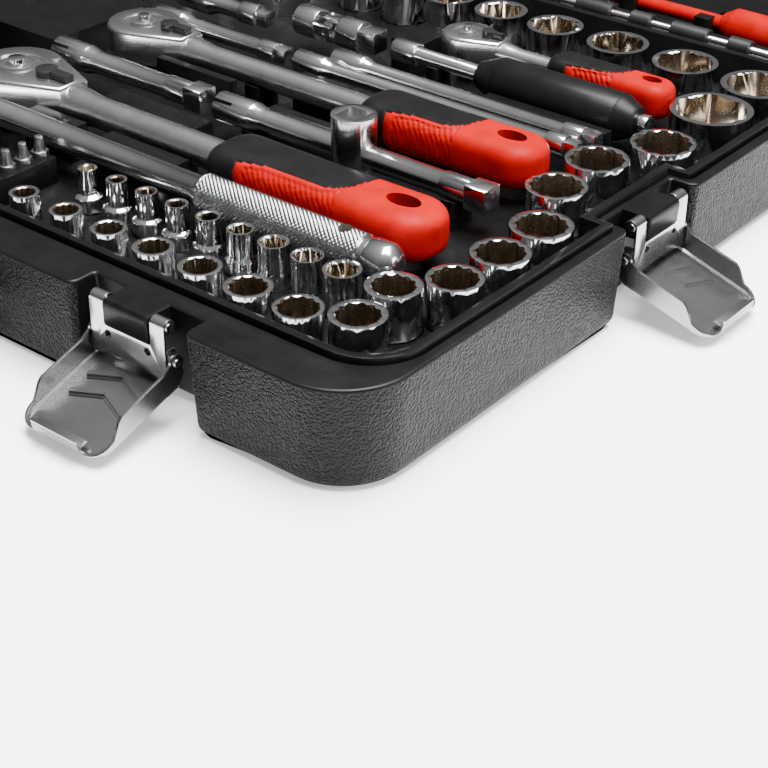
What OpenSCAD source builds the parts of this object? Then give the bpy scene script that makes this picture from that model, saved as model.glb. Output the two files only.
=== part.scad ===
// Socket wrench set in an open two-part plastic case.
// X runs along the front, Y runs back to the hinge, Z is up. The origin is the middle of the tray's underside.

/* [Case] */
// Outside width of each case half
case_w = 480; // [476:1:500]
// Outside depth of each case half
case_d = 333; // [331:1:345]
// Height of each case half, from its flat outside to the parting plane
half_h = 40; // [39:0.5:44]
// Thickness of the case's walls
wall = 2.5; // [1.5:0.25:3]
// Radius of the case's four corners, seen from above
corner_r = 28; // [20:1:32]
// Height of the raised rim above the parting plane's ledge, in the tray only
rim_h = 2; // [1:0.5:2.5]

/* [Latches] */
// Distance from the middle of the front to each front latch
latch_x = 141; // [130:1:150]
// Where the side latches sit along Y
latch_side_y = 12; // [6:1:14]
// Width of the recess that holds a front latch
recess_w = 52; // [50:1:54]
// Width of the recess that holds a side latch
side_recess_w = 46; // [44:1:47]
// Depth of the recess that holds a latch
recess_d = 11; // [10.5:0.25:11.5]
// Angle of an open lever below the level, in degrees
lever_drop = 17; // [10:1:17]
// Length of a lever from its pivot to its tip
lever_len = 42; // [38:1:42]

/* [Tools] */
// Height of the deck that the tools stand over
deck_z = 27; // [25:0.5:28]
// Height of the lid's own deck, lower so that the shut lid clears the tools
lid_deck_z = 18; // [15:0.5:19]
// Height of the long tools' centre lines
tool_z = 42; // [41:0.5:43]
// Height of the sockets' open ends
socket_top = 44; // [43:0.5:46]
// Gap all round a socket in its cup
cup_gap = 0.35; // [0.3:0.05:0.45]

/* [Hidden] */
$fn = 48;
eps = 0.01;
run_gap = 0.05;
hinge_y = case_d / 2 + 3;
hinge_z = half_h + 0.3;
lid_shift = 2 * hinge_y;
pin_y = -case_d / 2 + 2.9;
pin_z = half_h - 2.5;
eye_r = 2.8;
eye_bore = 1.6;
pivot_drop = 13;
pivot_in = 0.5;
rim_x = case_w / 2 - 5.3;
rim_y0 = -case_d / 2 + 19.5;
rim_y1 = case_d / 2 - 6.5;
rim_t = 3.2;

// Each socket is [x, y, outside diameter at the mouth, width across flats, outside diameter at the foot].
quarter_pitch = 15.7;
quarter_od = [7.5, 8.1, 8.3, 8.6, 9.3, 10.1, 11.3, 11.8, 13.8];
quarter_af = [4, 4.5, 5, 5.5, 6, 7, 8, 9, 10];
front_pitch = 22.3;
front_od = [11.3, 12.1, 13.1, 15, 15.6, 17.2, 17.4];
front_af = [7, 8, 9, 10, 11, 12, 13];
side_at = [[207.8, -125.8], [204.6, -103.2], [217.4, -86], [218.4, -61], [217.6, -35], [203.6, -5],
           [202.4, 24.4], [214, 53.5]];
side_od = [20, 20.2, 20.4, 21.8, 23.4, 23.6, 25, 25.8];
side_af = [14, 14, 15, 16, 17, 18, 19, 20];
back_at = [[212, 94], [213.8, 129], [177.5, 131.2], [143.2, 131.5], [110, 131.5], [80, 131.5], [51.5, 131.5],
           [24, 131.5], [-3, 131.5], [-29.5, 131.5], [-55.5, 131.5]];
back_od = [34, 31, 28.4, 27.4, 25.4, 24.4, 23.4, 22.6, 22, 21.6, 21.4];
back_af = [27, 24, 22, 21, 19, 18, 17, 16, 15, 14, 13];
far_pitch = 24;

// The long tools lie along X, each on its own line.
bar_y = -89.5;
half_y = -63.5;
tee_y = -27;
three_y = 7.5;
thin_y = 30;
long_y = 41;
short_y = 50;
spin_y = 67.5;
quarter_y = 92.5;

// ---------- shared shapes ----------

// Rectangle with round corners, centred on X, from y0 to y1
module round_rect(hw, y0, y1, r) {
  translate([-hw + r, y0]) square([2 * (hw - r), y1 - y0]);
  translate([-hw, y0 + r]) square([2 * hw, y1 - y0 - 2 * r]);
  for (x = [-hw + r, hw - r], y = [y0 + r, y1 - r]) translate([x, y]) circle(r);
}

// Block from two opposite corners
module block(a, b) {
  translate(a) cube([b[0] - a[0], b[1] - a[1], b[2] - a[2]]);
}

// Cylinder along X from x0 to x1
module rod_x(x0, x1, r, y = 0, z = 0) {
  translate([x0, y, z]) rotate([0, 90, 0]) cylinder(r = r, h = x1 - x0);
}

// Cone along X from radius r0 at x0 to radius r1 at x1
module cone_x(x0, x1, r0, r1, y = 0, z = 0) {
  translate([x0, y, z]) rotate([0, 90, 0]) cylinder(r1 = r0, r2 = r1, h = x1 - x0);
}

// Square bar along X
module square_x(x0, x1, s, y = 0, z = 0) {
  block([x0, y - s / 2, z - s / 2], [x1, y + s / 2, z + s / 2]);
}

// ---------- the case halves ----------

// The latch recesses, grown by g on every side
module recesses(g = 0) {
  for (x = [-latch_x, latch_x])
    translate([x - recess_w / 2 - g, -case_d / 2 - 20]) square([recess_w + 2 * g, 20 + recess_d + g]);
  for (s = [-1, 1]) {
    translate([s > 0 ? case_w / 2 - recess_d - g : -case_w / 2 - 20, latch_side_y - side_recess_w / 2 - g])
      square([20 + recess_d + g, side_recess_w + 2 * g]);
  }
}

module outline(inset) {
  difference() {
    round_rect(case_w / 2 - inset, -case_d / 2 + inset, case_d / 2 - inset, corner_r - inset);
    recesses(inset);
  }
}

// Outline of the rim, moved in by g; it jogs in behind the side latches
rim_jog = 14.5;
module rim_outline(g = 0) {
  difference() {
    round_rect(rim_x - g, rim_y0 + g, rim_y1 - g, 22 - g);
    for (s = [-1, 1])
      translate([s > 0 ? case_w / 2 - rim_jog - g : -case_w / 2 - 20, latch_side_y - side_recess_w / 2 - 3.5 - g])
        square([20 + rim_jog + g, side_recess_w + 7 + 2 * g]);
  }
}

// One case half without latch or hinge details
module half_shell() {
  difference() {
    linear_extrude(half_h) outline(0);
    translate([0, 0, wall]) linear_extrude(half_h - 2 * wall) outline(wall);
    translate([0, 0, half_h - wall - 1]) linear_extrude(wall + 2) rim_outline(-0.1);
  }
}

// Calls its child at each of the four latch places, turned so that -Y is outward
module at_latches() {
  translate([latch_x, pin_y, pin_z]) children();
  translate([-latch_x, pin_y, pin_z]) children();
  translate([case_w / 2 - 2.9, latch_side_y, pin_z]) rotate([0, 0, 90]) children();
  translate([-case_w / 2 + 2.9, latch_side_y, pin_z]) rotate([0, 0, -90]) children();
}

module latch_lug() {
  difference() {
    union() {
      rod_x(-10.5, 10.5, 4);
      block([-10.5, 0, -9], [10.5, recess_d - 2.9 + eps, 2.5]);
    }
    rod_x(-11, 11, eye_bore - run_gap);
  }
}

module lid_catch() {
  // local Z runs down from the tray's latch pin, seen in the open lid
  block([-10, -4.2, 15.7 - pin_z], [10, recess_d - 2.9 + eps, 20.1 - pin_z]);
}

// Hinge knuckles: the tray's are the short ones, the lid's the long ones
knuckle_pitch = 51;
knuckle_r = 4.2;
tray_knuckles = [for (i = [-7 : 2]) if (132.5 + knuckle_pitch * i < 190) 132.5 + knuckle_pitch * i];
lid_knuckles = [for (i = [-7 : 1]) 158 + knuckle_pitch * i];

module knuckle(x, half_len) {
  difference() {
    union() {
      rod_x(x - half_len, x + half_len, knuckle_r, hinge_y, hinge_z);
      block([x - half_len, hinge_y - 5.2, hinge_z - 9], [x + half_len, hinge_y - 3, hinge_z - 0.3]);
      block([x - half_len, hinge_y - 3.1, hinge_z - 4], [x + half_len, hinge_y, hinge_z - 0.3]);
    }
    rod_x(x - half_len - 1, x + half_len + 1, 1.8 + run_gap, hinge_y, hinge_z);
  }
}

module knuckle_notch(x, half_len) {
  rod_x(x - half_len - 1, x + half_len + 1, knuckle_r + 0.6, hinge_y, hinge_z);
}

module case_base() color("#2b2b2b") {
  difference() {
    half_shell();
    for (x = lid_knuckles) knuckle_notch(x, 9.5);
  }
  at_latches() latch_lug();
  for (x = tray_knuckles) knuckle(x, 5.5);
  for (x = [-58, 58]) handle_boss(x);
}

module lid_shell() color("#2b2b2b") translate([0, lid_shift, 0]) mirror([0, 1, 0]) {
  difference() {
    half_shell();
    for (x = tray_knuckles) knuckle_notch(x, 5.5);
  }
  at_latches() lid_catch();
  for (x = lid_knuckles) knuckle(x, 9.5);
}

// ---------- the carrying handle ----------

handle_pin_z = 22;
handle_pin_y = -case_d / 2 - 5.5;

module handle_boss(x) {
  difference() {
    union() {
      rod_x(x - 4, x + 4, 5, handle_pin_y, handle_pin_z);
      block([x - 4, handle_pin_y, handle_pin_z - 5], [x + 4, -case_d / 2 + wall, handle_pin_z + 5]);
    }
    rod_x(x - 5, x + 5, 2.5 - run_gap, handle_pin_y, handle_pin_z);
  }
}

module handle_pivots() color("silver")
  for (x = [-58, 58]) rod_x(x - 12, x + 12, 2.5 - run_gap, handle_pin_y, handle_pin_z);

// The handle hangs down against its stop and lifts about its pivots
module carry_handle() color("#303030") translate([0, handle_pin_y, handle_pin_z]) rotate([25, 0, 0])
  difference() {
    union() {
      for (s = [-1, 1]) {
        rod_x(s * 67 - 4.5, s * 67 + 4.5, 5);
        block([s * 67 - 4.5, -26, -5], [s * 67 + 4.5, 0, 5]);
      }
      rod_x(-71.5, 71.5, 8, -30);
    }
    for (s = [-1, 1]) rod_x(s * 67 - 6, s * 67 + 6, 2.5);
  }

// ---------- hinge and latch pins ----------

module hinge_pin() color("gainsboro") rod_x(-208.5, 218.5, 1.8, hinge_y, hinge_z);

module latch_case_pins() color("silver") at_latches() rod_x(-17.9, 17.9, eye_bore - run_gap);

// ---------- latches, drawn at the latch pin with -Y outward ----------

module link_local() difference() {
  union() {
    for (s = [-1, 1]) {
      rod_x(s * 14.3 - 3.3, s * 14.3 + 3.3, eye_r);
      block([s * 14.3 - 3.3, -eye_r, -9], [s * 14.3 + 3.3, -eye_r + 1.2, 0]);
      block([s > 0 ? 16.4 : -17.6, -eye_r, -18.6], [s > 0 ? 17.6 : -16.4, 2.2, -8.4]);
    }
    block([-17.6, -eye_r, -20.6], [17.6, -eye_r + 1.2, -8]);
  }
  for (s = [-1, 1]) {
    rod_x(s * 14.3 - 4, s * 14.3 + 4, eye_bore);
    translate([s * 9.4, 0, -11]) rotate([90, 0, 0]) cylinder(r = 1.5, h = 9, center = true);
    rod_x(s * 17 - 1, s * 17 + 1, 1.5 - run_gap, pivot_in, -pivot_drop);
  }
  translate([0, -eye_r + 0.6, -20.6 - 80.6]) rotate([90, 0, 0]) cylinder(r = 82.6, h = 3, center = true, $fn = 180);
}

module lever_local() difference() {
  union() {
    block([-19.8, -9.7, 2], [19.8, -8.5, lever_len]);
    for (s = [-1, 1]) translate([s > 0 ? 18.6 : -19.8, 0, 0]) {
      rod_x(0, 1.2, 3);
      rotate([90, 0, 90]) linear_extrude(1.2)
        polygon([[-9.7, 2], [-6, -1.5], [-2, -2], [3, 0], [1.5, 3], [0, 28], [-4, 33], [-7, 33], [-7, lever_len - 7],
                 [-9.7, lever_len - 7]]);
    }
    block([-11, -9.7, lever_len - 1.2], [11, -3.2, lever_len]);
  }
  for (s = [-1, 1]) rod_x(s * 19.2 - 1.5, s * 19.2 + 1.5, 1.5);
  for (s = [-1, 1]) difference() {
    translate([s > 0 ? 12.8 : -20, -10, lever_len - 7]) cube([7.2, 2, 8]);
    translate([s * 12.8, -10, lever_len - 7]) rotate([-90, 0, 0]) cylinder(r = 7, h = 2);
  }
}

module rivets_local() for (s = [-1, 1]) {
  rod_x(s > 0 ? 15.6 : -20.2, s > 0 ? 20.2 : -15.6, 1.5 - run_gap, pivot_in, -pivot_drop);
}

module open_lever() translate([0, pivot_in, -pivot_drop]) rotate([90 + lever_drop, 0, 0]) lever_local();

module at_latch(i) {
  if (i == 0) translate([latch_x, pin_y, pin_z]) children();
  if (i == 1) translate([-latch_x, pin_y, pin_z]) children();
  if (i == 2) translate([case_w / 2 - 2.9, latch_side_y, pin_z]) rotate([0, 0, 90]) children();
  if (i == 3) translate([-case_w / 2 + 2.9, latch_side_y, pin_z]) rotate([0, 0, -90]) children();
}

module front_right_link() color("silver") at_latch(0) link_local();
module front_right_lever() color("gray") at_latch(0) open_lever();
module front_right_rivets() color("white") at_latch(0) rivets_local();
module front_left_link() color("silver") at_latch(1) link_local();
module front_left_lever() color("gray") at_latch(1) open_lever();
module front_left_rivets() color("white") at_latch(1) rivets_local();
module right_link() color("silver") at_latch(2) link_local();
module right_lever() color("gray") at_latch(2) open_lever();
module right_rivets() color("white") at_latch(2) rivets_local();
module left_link() color("silver") at_latch(3) link_local();
module left_lever() color("gray") at_latch(3) open_lever();
module left_rivets() color("white") at_latch(3) rivets_local();

// ---------- sockets ----------

// A socket stands mouth up with its mouth at socket_top
module socket(od, af, foot_od, foot_h, len, drive, points) {
  translate([0, 0, socket_top - len]) difference() {
    union() {
      cylinder(d = foot_od, h = foot_h);
      translate([0, 0, foot_h]) cylinder(d1 = foot_od, d2 = od, h = 1.5);
      translate([0, 0, foot_h + 1.5 - eps]) cylinder(d = od, h = len - foot_h - 1.5 + eps);
    }
    translate([0, 0, len / 2]) for (a = points == 12 ? [0, 30] : [0])
      rotate([0, 0, a]) cylinder(d = af / cos(30), h = len, $fn = 6);
    translate([-drive / 2, -drive / 2, -1]) cube([drive, drive, len / 2 - 1]);
    translate([0, 0, 1]) cylinder(r = min(af, drive) * 0.4, h = len);
    translate([0, 0, len - 0.6]) cylinder(d1 = af, d2 = min(af + 1.6, od - 1), h = 0.6 + eps);
  }
}

module quarter_sockets() color("lightgray") for (i = [0 : 8])
  translate([58.4 + quarter_pitch * i, -105.5, 0])
    socket(quarter_od[i], quarter_af[i], max(12, quarter_od[i]), 13.5, 25, 6.4, 6);

module front_sockets() color("lightgray") for (i = [0 : 6])
  translate([55.8 + front_pitch * i, -134.5, 0])
    socket(front_od[i], front_af[i], max(17, front_od[i]), 12, 28, 9.6, 12);

module side_sockets() color("lightgray") for (i = [0 : 7])
  translate([side_at[i][0], side_at[i][1], 0])
    socket(side_od[i], side_af[i], side_od[i] - 0.6, 14, i == 0 ? 30 : 37, 12.8 - (i == 0 ? 3.2 : 0), 12);

module back_sockets() color("lightgray") for (i = [0 : 10])
  translate([back_at[i][0], back_at[i][1], 0])
    socket(back_od[i], back_af[i], max(22, back_od[i] * 0.86), 17, 37, 12.8, 6);

module deep_sockets() color("lightgray") for (i = [0 : 5], row = [0, 1])
  translate([-212 + far_pitch * i, 128 - 30 * row, 0]) socket(21 - i - row, 17 - i - row, 20.4 - i - row, 14, 37, 6.4, 6);

function cups() = concat(
  [for (i = [0 : 8]) [58.4 + quarter_pitch * i, -105.5, max(12, quarter_od[i]), 25]],
  [for (i = [0 : 6]) [55.8 + front_pitch * i, -134.5, max(17, front_od[i]), 28]],
  [for (i = [0 : 7]) [side_at[i][0], side_at[i][1], side_od[i], i == 0 ? 30 : 37]],
  [for (i = [0 : 10]) [back_at[i][0], back_at[i][1], back_od[i], 37]],
  [for (i = [0 : 5], row = [0, 1]) [-212 + far_pitch * i, 128 - 30 * row, 21 - i - row, 37]]);

// ---------- the insert ----------

// Raised pads between the tools: [x0, x1, y0, y1, top]
pads = [[-4, 24, -83, -74, 43], [38, 80, -83.5, -73, 43], [10, 62, -51, -41, 46], [-4, 40, -7, -3, 43],
        [70, 110, -17, -12, 42], [-96, -54, -20, 40, 41], [60, 76, 76, 100, 42], [56, 104, 14, 22, 42],
        [130, 190, 48, 54, 43]];

// Wells under the ratchets' square drives: [place, radius]
wells = [[[-28, half_y], 13], [[-25, three_y], 11]];

// Saddles under the long tools: [x0, x1, line, half width, tool radius]
saddles = [[-60, -50, bar_y, 6, 5.5], [84, 90, bar_y, 6, 5.5], [60, 68, half_y, 7, 6.5], [171, 177, tee_y, 6, 5.3],
           [70, 76, tee_y, 6, 6.2], [40, 48, three_y, 6, 5.5], [110, 118, thin_y, 4, 3.3], [120, 128, long_y, 5, 4.2],
           [90, 96, spin_y, 5, 3.6], [116, 122, quarter_y, 5, 4.5]];

module tool_insert() color("#383838") difference() {
  union() {
    translate([0, 0, deck_z - 2]) linear_extrude(half_h + rim_h - deck_z + 2) rim_outline();
    for (c = cups()) translate([c[0], c[1], socket_top - c[3] - 1.6])
      cylinder(d = c[2] + 2 * cup_gap + 2.4, h = deck_z - socket_top + c[3] + 1);
  }
  difference() {
    translate([0, 0, deck_z]) linear_extrude(half_h) rim_outline(rim_t);
    for (p = pads) block([p[0], p[2], 0], [p[1], p[3], min(p[4], half_h + rim_h)]);
    for (s = saddles) block([s[0], s[2] - s[3], 0], [s[1], s[2] + s[3], tool_z - s[4] + 2]);
  }
  for (s = saddles) rod_x(s[0] - 1, s[1] + 1, s[4] + 0.3, s[2], tool_z);
  for (c = cups()) translate([c[0], c[1], socket_top - c[3] - 0.1])
    cylinder(d = c[2] + 2 * cup_gap, h = 40);
  for (w = wells) translate([w[0][0], w[0][1], deck_z - 3]) cylinder(r = w[1], h = 4);
}

module lid_insert() color("#383838") translate([0, lid_shift, 0]) mirror([0, 1, 0]) difference() {
  translate([0, 0, lid_deck_z - 2]) linear_extrude(half_h - rim_h - lid_deck_z + 2) rim_outline();
  difference() {
    translate([0, 0, lid_deck_z]) linear_extrude(half_h) rim_outline(rim_t);
    for (y = [-76, 4]) block([-216, y - 5, 0], [64, y + 5, lid_deck_z + 5]);
    for (x = [96, 138]) block([x - 4, 108, 0], [x + 4, 124, lid_deck_z + 12]);
  }
  for (i = [0 : 10]) block([-208 + 24 * i, -110, lid_deck_z + 0.9], [-208 + 24 * i + 9, 40, half_h]);
  for (x = [96, 138]) rod_x(x - 6, x + 6, 3.6, 116, lid_deck_z + 8.8);
}

// ---------- long tools ----------

module breaker_bar() color("silver") translate([0, bar_y, tool_z]) difference() {
  union() {
    rod_x(-66, 102, 5.5);
    cone_x(101.9, 105, 5.5, 7.5);
    rod_x(105, 181, 7.5);
    rod_x(181, 184, 6.6);
    rod_x(184, 192, 7.5);
    translate([192, 0, 0]) rotate([0, 90, 0]) cylinder(r1 = 7.5, r2 = 4, h = 4);
    rod_x(-74, -66 + eps, 8);
    for (s = [-1, 1]) block([-92, s > 0 ? 4.1 : -8, -6.5], [-70, s > 0 ? 8 : -4.1, 6.5]);
  }
  translate([172, 0, 0]) cylinder(r = 2.2, h = 30, center = true);
  translate([-86, 0, 0]) rotate([90, 0, 0]) cylinder(r = 2.2, h = 30, center = true);
}

module breaker_head() color("silver") translate([-86, bar_y, tool_z]) difference() {
  union() {
    rotate([90, 0, 0]) cylinder(r = 6, h = 7.8, center = true);
    block([-18, -3.9, -5.5], [0, 3.9, 5.5]);
    block([-30, -6.35, -6.35], [-17.9, 6.35, 6.35]);
  }
  rotate([90, 0, 0]) cylinder(r = 2.25, h = 30, center = true);
}

module breaker_pin() color("white") translate([-86, bar_y, tool_z])
  rotate([90, 0, 0]) cylinder(r = 2.2, h = 15.8, center = true);

// A ratchet's steel body: the head's centre is at the origin, the shaft runs along +X
module ratchet_body(head_r, head_h, shaft_r, grip_x, drive_r) difference() {
  union() {
    translate([0, 0, -head_h / 2]) cylinder(r = head_r, h = head_h);
    cone_x(head_r * 0.6, head_r * 2.4, head_h / 2 - 0.5, shaft_r);
    rod_x(head_r * 2.4 - eps, grip_x + 25, shaft_r);
  }
  translate([0, 0, -head_h]) cylinder(r = drive_r, h = head_h * 1.5 - 2);
  translate([0, 0, head_h / 2 - 2 - eps]) cylinder(r = drive_r * 0.62, h = 4);
  translate([head_r * 0.95, 0, 0]) cylinder(r = head_r * 0.12 + run_gap, h = head_h);
}

// The wheel with its square drive below and the button's bore through it
module ratchet_drive(head_h, drive_r, square_w) difference() {
  union() {
    translate([0, 0, -head_h / 2 - 1.5]) cylinder(r = drive_r - run_gap, h = head_h - 1);
    translate([-square_w / 2, -square_w / 2, -head_h / 2 - square_w - 2]) cube([square_w, square_w, square_w + 2]);
    translate([0, 0, head_h / 2 - 3]) cylinder(r = drive_r * 0.62 - run_gap, h = 3.4);
  }
  translate([0, 0, -head_h / 2 - square_w]) cylinder(r = square_w * 0.3, h = 60);
}

module ratchet_button(head_h, square_w) {
  translate([0, 0, -4]) cylinder(r = square_w * 0.3 - run_gap, h = head_h / 2 + 6.5);
}

// The reversing lever turns about a short stem behind the drive
module ratchet_lever(head_r, head_h) translate([head_r * 0.95, 0, head_h / 2]) {
  translate([0, 0, -3]) cylinder(r = head_r * 0.12, h = 3.4);
  translate([0, 0, 0.3]) linear_extrude(2.4) {
    circle(head_r * 0.24);
    translate([0, -head_r * 0.12]) square([head_r * 0.7, head_r * 0.24]);
  }
}

// Grip plan: a bar with round ends; the inlay takes its front strip and its whole end
module grip_plan(x0, x1, hw) {
  translate([x0 + hw * 0.6, -hw]) square([x1 - x0 - hw * 1.6, 2 * hw]);
  translate([x0, -hw * 0.7]) square([hw, hw * 1.4]);
  translate([x0 + hw * 0.6, -hw * 0.4]) circle(hw * 0.6);
  translate([x0 + hw * 0.6, hw * 0.4]) circle(hw * 0.6);
  translate([x1 - hw, 0]) circle(hw);
}

module inlay_plan(x0, x1, hw) intersection() {
  grip_plan(x0, x1, hw);
  union() {
    translate([x0 + hw, -hw - 1]) square([x1 - x0, hw * 0.75 + 1]);
    translate([x1 - hw * 2.1, -hw - 1]) square([hw * 3, 2 * hw + 2]);
  }
}

module ratchet_grip(x0, x1, hw, hh, shaft_r) difference() {
  translate([0, 0, -hh]) linear_extrude(2 * hh) difference() {
    grip_plan(x0, x1, hw);
    inlay_plan(x0, x1, hw);
  }
  rod_x(x0 - 1, x0 + 25, shaft_r);
}

module ratchet_inlay(x0, x1, hw, hh, shaft_r) difference() {
  translate([0, 0, -hh]) linear_extrude(2 * hh) inlay_plan(x0, x1, hw);
  rod_x(x0 - 1, x0 + 25, shaft_r);
  translate([x1 - hw * 1.05, 0, -hh - 1]) cylinder(r = hw * 0.32, h = 2 * hh + 2);
}

half_at = [-28, half_y, tool_z];
module half_ratchet_body() color("silver") translate(half_at) ratchet_body(19.5, 17, 6.5, 118, 12);
module half_ratchet_grip() color("#333333") translate(half_at) ratchet_grip(118, 222, 14.5, 10, 6.5);
module half_ratchet_inlay() color("red") translate(half_at) ratchet_inlay(118, 222, 14.5, 10, 6.5);
module half_ratchet_drive() color("gray") translate(half_at) ratchet_drive(17, 12, 12.7);
module half_ratchet_lever() color("#222222") translate(half_at) ratchet_lever(19.5, 17);
module half_ratchet_button() color("white") translate(half_at) ratchet_button(17, 12.7);
module half_ratchet_screws() color("gray") translate(half_at) for (s = [-1, 1])
  translate([s > 0 ? 9 : -5, s * (s > 0 ? 13 : 15), 8.5]) cylinder(r = 2, h = 0.5);

three_at = [-25, three_y, tool_z];
module three_ratchet_body() color("silver") translate(three_at) ratchet_body(16.5, 15, 5.5, 130, 10);
module three_ratchet_grip() color("#333333") translate(three_at) ratchet_grip(130, 214, 13, 9.5, 5.5);
module three_ratchet_inlay() color("red") translate(three_at) ratchet_inlay(130, 214, 13, 9.5, 5.5);
module three_ratchet_drive() color("gray") translate(three_at) ratchet_drive(15, 10, 9.5);
module three_ratchet_lever() color("#222222") translate(three_at) ratchet_lever(16.5, 15);
module three_ratchet_button() color("white") translate(three_at) ratchet_button(15, 9.5);

quarter_at = [90, quarter_y, tool_z];
module quarter_ratchet_body() color("silver") translate(quarter_at) ratchet_body(11.5, 12, 4.2, 46, 6.8);
module quarter_ratchet_grip() color("#333333") translate(quarter_at) ratchet_grip(46, 104.5, 9, 8, 4.2);
module quarter_ratchet_inlay() color("red") translate(quarter_at) ratchet_inlay(46, 104.5, 9, 8, 4.2);
module quarter_ratchet_drive() color("gray") translate(quarter_at) ratchet_drive(12, 6.8, 6.3);
module quarter_ratchet_lever() color("#222222") translate(quarter_at) ratchet_lever(11.5, 12);
module quarter_ratchet_button() color("white") translate(quarter_at) ratchet_button(12, 6.3);

// A drive extension: a square hole at the left, a square at the right
module extension(x0, x1, end_r, shaft_r, drive) difference() {
  union() {
    rod_x(x0, x0 + end_r * 3, end_r);
    cone_x(x0 + end_r * 3 - eps, x0 + end_r * 4, end_r, shaft_r);
    rod_x(x0 + end_r * 4 - eps, x1 - drive * 1.6, shaft_r);
    rod_x(x1 - drive * 1.6 - end_r, x1 - drive, end_r * 0.85);
    square_x(x1 - drive - eps, x1, drive);
  }
  square_x(x0 - 1, x0 + drive, drive + 0.2);
}

module tee_bar() color("silver") translate([0, tee_y, tool_z]) {
  extension(-42, 46, 6.2, 4.8, 9.5);
  extension(54, 190, 6.2, 4.8, 9.5);
}

module tee_slider() color("silver") translate([124, tee_y, tool_z]) difference() {
  translate([0, 0, -7]) cylinder(r = 9, h = 23);
  rod_x(-20, 20, 4.8 + run_gap);
  translate([-4.8, -4.8, 8]) cube([9.6, 9.6, 20]);
}

module long_extension() color("silver") translate([0, long_y, tool_z]) extension(58, 192, 5.2, 3.6, 9.5 / 1.5);

module thin_extensions() color("silver") {
  translate([0, thin_y, tool_z]) {
    extension(-38, 40, 5.2, 3.6, 6.3);
    extension(46, 190, 5, 3.2, 5.4);
  }
  translate([0, short_y + 8, tool_z]) extension(-50, 4, 6, 4, 6.3);
}

module spinner_shank() color("silver") translate([0, spin_y, tool_z]) union() {
  rod_x(70, 82, 5);
  rod_x(82 - eps, 130, 3.5);
  rod_x(194, 199, 4);
}

module spinner_handle() color("#2a2a2a") translate([0, spin_y, tool_z]) difference() {
  union() {
    cone_x(116, 126, 6, 10);
    rod_x(126 - eps, 186, 10);
    cone_x(186 - eps, 194, 10, 6);
  }
  rod_x(115, 130, 3.5);
}

// Universal joint: two forks and a cross
module fork(x0, x1, r) difference() {
  union() {
    rod_x(x0, x1, r);
    for (s = [-1, 1]) block([x1 - eps, s > 0 ? r * 0.5 : -r * 0.9, -r * 0.34], [x1 + 9, s > 0 ? r * 0.9 : -r * 0.5, r * 0.34]);
  }
  translate([x1 + 6.5, 0, 0]) rotate([90, 0, 0]) cylinder(r = 1.2 + run_gap, h = 40, center = true);
}

module joint_socket_end() color("silver") translate([0, spin_y + 1, tool_z]) difference() {
  fork(14, 26, 7);
  square_x(13, 22, 9.6);
}
module joint_cross() color("gray") translate([32.5, spin_y + 1, tool_z]) {
  cube([4, 6.6, 6.6], center = true);
  rotate([90, 0, 0]) cylinder(r = 1.2, h = 12.4, center = true);
  cylinder(r = 1.2, h = 12.4, center = true);
}
module joint_drive_end() color("silver") translate([65, spin_y + 1, tool_z]) mirror([1, 0, 0]) rotate([90, 0, 0]) {
  fork(14, 26, 7);
  square_x(5, 14 + eps, 9.5);
}

// ---------- small parts ----------

// Where the bits stand: a short rack by the small sockets and two long ones at the left
bit_pitch = 10;
bit_at = concat([for (i = [0 : 3]) [26, -126 + 8.4 * i]],
  [for (i = [0 : 9], row = [0, 1]) [-208 + bit_pitch * i, -124 + 64 * row]]);

module bit_rack() color("#262626") difference() {
  union() {
    block([20, -131, deck_z], [32, -98, 38]);
    for (row = [0, 1]) block([-215, -131 + 64 * row, deck_z], [-111, -117 + 64 * row, 38]);
  }
  for (b = bit_at) translate([b[0], b[1], deck_z + 1]) cylinder(d = 7.4, h = 30);
}
module bits() color("silver") for (b = bit_at) translate([b[0], b[1], deck_z + 1.1]) {
  cylinder(d = 7.2, h = 12, $fn = 6);
  translate([0, 0, 12 - eps]) cylinder(d1 = 5, d2 = 3, h = 6);
}

// Combination wrenches in the lid: each lies along Y
module wrench(w, len) difference() {
  union() {
    translate([-w * 0.3, -len / 2 + w * 0.6]) square([w * 0.6, len - w * 1.2]);
    translate([0, len / 2 - w * 0.8]) circle(w * 0.8);
    translate([0, -len / 2 + w * 0.9]) circle(w * 0.95);
  }
  translate([0, len / 2 - w * 0.8]) circle(d = w * 0.85 / cos(30), $fn = 6);
  translate([-w * 0.35, -len / 2 - w * 0.2]) square([w * 0.7, w * 1.3]);
}
module wrenches() color("silver") for (i = [0 : 10])
  translate([-203.5 + 24 * i, lid_shift + 36, lid_deck_z + 1]) linear_extrude(4.5) wrench(11.4 - 0.4 * i, 200 - 8 * i);

module screwdriver() color("red") translate([0, lid_shift - 116, lid_deck_z + 8.8]) {
  rod_x(84, 146, 3.5);
  cone_x(146 - eps, 152, 5, 8.5);
  rod_x(152 - eps, 206, 8.5);
}

case_base();
tool_insert();
hinge_pin();
latch_case_pins();
carry_handle();
handle_pivots();
lid_shell();
lid_insert();
front_right_link();
front_right_lever();
front_right_rivets();
front_left_link();
front_left_lever();
front_left_rivets();
right_link();
right_lever();
right_rivets();
left_link();
left_lever();
left_rivets();
quarter_sockets();
front_sockets();
side_sockets();
back_sockets();
deep_sockets();
breaker_bar();
breaker_head();
breaker_pin();
half_ratchet_body();
half_ratchet_grip();
half_ratchet_inlay();
half_ratchet_drive();
half_ratchet_lever();
half_ratchet_button();
half_ratchet_screws();
three_ratchet_body();
three_ratchet_grip();
three_ratchet_inlay();
three_ratchet_drive();
three_ratchet_lever();
three_ratchet_button();
quarter_ratchet_body();
quarter_ratchet_grip();
quarter_ratchet_inlay();
quarter_ratchet_drive();
quarter_ratchet_lever();
quarter_ratchet_button();
tee_bar();
tee_slider();
long_extension();
thin_extensions();
spinner_shank();
spinner_handle();
joint_socket_end();
joint_cross();
joint_drive_end();
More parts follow.
